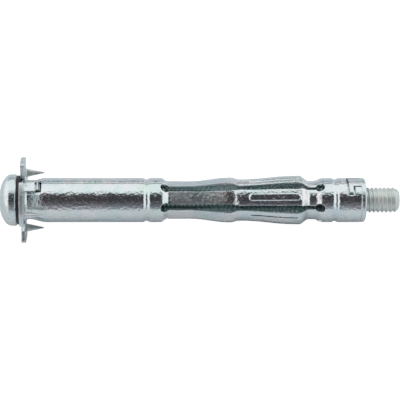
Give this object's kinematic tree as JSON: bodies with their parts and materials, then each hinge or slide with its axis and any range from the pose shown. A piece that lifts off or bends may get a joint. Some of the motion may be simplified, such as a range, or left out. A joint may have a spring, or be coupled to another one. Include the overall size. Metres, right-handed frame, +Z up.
{
  "type": "hollow wall anchor",
  "caption": "Steel hollow wall anchor: slit sleeve with lobed, spiked collar and folding legs, round a long pan head screw in a threaded insert.",
  "frame": {"origin": "on the screw's axis, in the plane of the collar's wall side, where the drilled hole's centre meets the wall", "axes": "+X along the screw from the head to the tip; +Z up as the anchor lies on two collar lobes and its tail"},
  "size_m": [0.0757, 0.0158, 0.0158],
  "materials": {
    "zinc_sheet": "bright zinc plated sheet, slightly grainy",
    "zinc_nut": "bright zinc plated, turned",
    "zinc_screw": "bright zinc plated, rolled thread",
    "black_washer": "black, satin"
  },
  "bodies": {
    "anchor": {"sleeve": "zinc_sheet", "nut": "zinc_nut"},
    "head_washer": {"spacer_washer": "black_washer"},
    "machine_screw": {"screw": "zinc_screw"}
  },
  "joints": [
    {"name": "screw_travel", "type": "slide", "parent": "anchor", "child": "head_washer", "axis": [-1, 0, 0], "range_m": [0, 0.0104]},
    {"name": "screw_turn", "type": "hinge", "parent": "head_washer", "child": "machine_screw", "pos_m": [-0.0016, 0, 0], "axis": [-1, 0, 0], "range_deg": [0, 4681]}
  ],
  "couplings": [
    {"joint": "screw_turn", "follows": "screw_travel", "rad_per_m": 7854}
  ]
}
